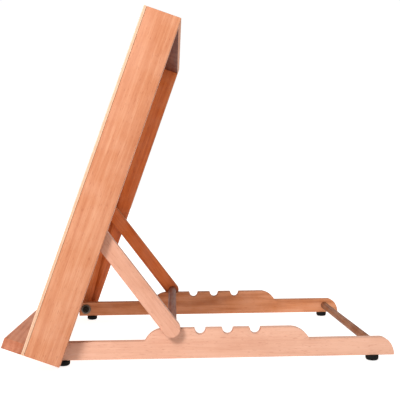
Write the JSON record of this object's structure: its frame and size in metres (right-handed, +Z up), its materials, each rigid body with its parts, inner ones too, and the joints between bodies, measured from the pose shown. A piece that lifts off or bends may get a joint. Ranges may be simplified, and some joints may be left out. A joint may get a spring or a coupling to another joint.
{
  "type": "folding display stand",
  "caption": "Table-top wooden display stand: deep box board with a front ledge, leaning back on a prop whose crossbar sits in toothed base rails.",
  "frame": {"origin": "on the table plane, under the middle of the bounding box", "axes": "+X along the width, towards the right-hand side as seen from behind the ledge looking at the back; the board and its ledge face -Y; +Y towards the rear of the base rails; +Z up"},
  "size_m": [0.38, 0.5504, 0.5034],
  "materials": {
    "beech": "oiled satin",
    "plywood": "sanded and oiled",
    "rubber": "matt moulded",
    "black_steel": "black oxide",
    "zinc_steel": "zinc plated",
    "brass": "turned",
    "nylon": "turned"
  },
  "bodies": {
    "base": {"base_rail_right": "beech", "base_rail_left": "beech", "rear_dowel": "beech", "foot_front_right": "rubber", "foot_front_left": "rubber", "foot_rear_right": "rubber", "foot_rear_left": "rubber", "foot_screw_front_right": "zinc_steel", "foot_screw_front_left": "zinc_steel", "foot_screw_rear_right": "zinc_steel", "foot_screw_rear_left": "zinc_steel", "base_pivot_spacer_right": "nylon", "base_pivot_spacer_left": "nylon"},
    "board": {"board_side_right": "beech", "board_side_left": "beech", "board_top_rail": "beech", "board_bottom_rail": "beech", "front_panel": "plywood", "ledge": "beech", "ledge_screw_left": "zinc_steel", "ledge_screw_middle": "zinc_steel", "ledge_screw_right": "zinc_steel", "base_pivot_bolt_right": "black_steel", "base_pivot_bolt_left": "black_steel", "base_pivot_washer_right": "zinc_steel", "base_pivot_washer_left": "zinc_steel", "base_pivot_insert_right": "brass", "base_pivot_insert_left": "brass", "prop_pivot_bolt_right": "black_steel", "prop_pivot_bolt_left": "black_steel", "prop_pivot_washer_right": "zinc_steel", "prop_pivot_washer_left": "zinc_steel", "prop_pivot_insert_right": "brass", "prop_pivot_insert_left": "brass"},
    "prop": {"prop_arm_right": "beech", "prop_arm_left": "beech", "prop_crossbar": "beech"}
  },
  "joints": [
    {"name": "board_tilt", "type": "hinge", "parent": "base", "child": "board", "pos_m": [0, -0.20635, 0.0202], "axis": [1, 0, 0], "range_deg": [0, 25]},
    {"name": "prop_swing", "type": "hinge", "parent": "board", "child": "prop", "pos_m": [0, -0.15996, 0.20809], "axis": [1, 0, 0], "range_deg": [0, 120]}
  ]
}
